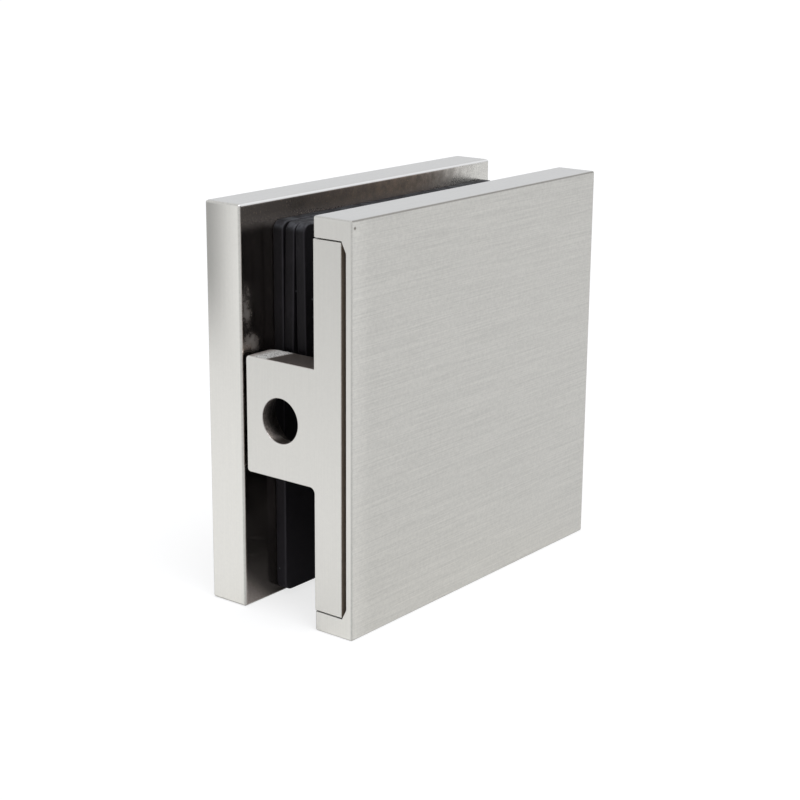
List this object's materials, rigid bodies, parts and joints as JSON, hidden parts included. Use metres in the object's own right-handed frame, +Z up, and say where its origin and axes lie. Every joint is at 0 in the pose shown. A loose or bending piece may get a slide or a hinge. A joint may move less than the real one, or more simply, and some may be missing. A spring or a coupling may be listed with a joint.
{
  "type": "glass clamp",
  "caption": "Square wall clamp for a shower glass panel: T-shaped base with a drilled web, screw-drawn clamp plate, rubber gaskets, packing strips and a pull-off cover.",
  "frame": {"origin": "axis of the wall screw hole, in the plane of the wall", "axes": "+Y leads away from the wall, +Z is up, +X points across the glass to the cover"},
  "size_m": [0.0226, 0.05, 0.05],
  "materials": {
    "satin_base": "satin brushed, warm light grey",
    "satin_cover": "satin brushed along the depth, warm light grey",
    "satin_plate": "satin brushed outside, smoother inside, warm light grey",
    "screw_steel": "plain bright steel",
    "gasket_rubber": "matt black rubber",
    "sleeve_nylon": "natural nylon, slightly waxy"
  },
  "bodies": {
    "base": {"base": "satin_base", "front_gasket": "gasket_rubber", "screw_sleeve": "sleeve_nylon"},
    "clamp_plate": {"clamp_plate": "satin_plate", "back_gasket": "gasket_rubber", "back_strip": "gasket_rubber", "front_strip": "gasket_rubber"},
    "clamp_screw": {"clamp_screw": "screw_steel"},
    "cover": {"cover": "satin_cover"}
  },
  "joints": [
    {"name": "clamp_slide", "type": "slide", "parent": "base", "child": "clamp_plate", "axis": [1, 0, 0], "range_m": [-0.002, 0.0006]},
    {"name": "screw_turn", "type": "hinge", "parent": "base", "child": "clamp_screw", "pos_m": [0, 0.025, 0], "axis": [-1, 0, 0], "range_deg": [-724, 220]},
    {"name": "cover_pull", "type": "slide", "parent": "base", "child": "cover", "axis": [1, 0, 0], "range_m": [0, 0.02]}
  ],
  "couplings": [
    {"joint": "screw_turn", "follows": "clamp_slide", "rad_per_m": 6283.2}
  ]
}
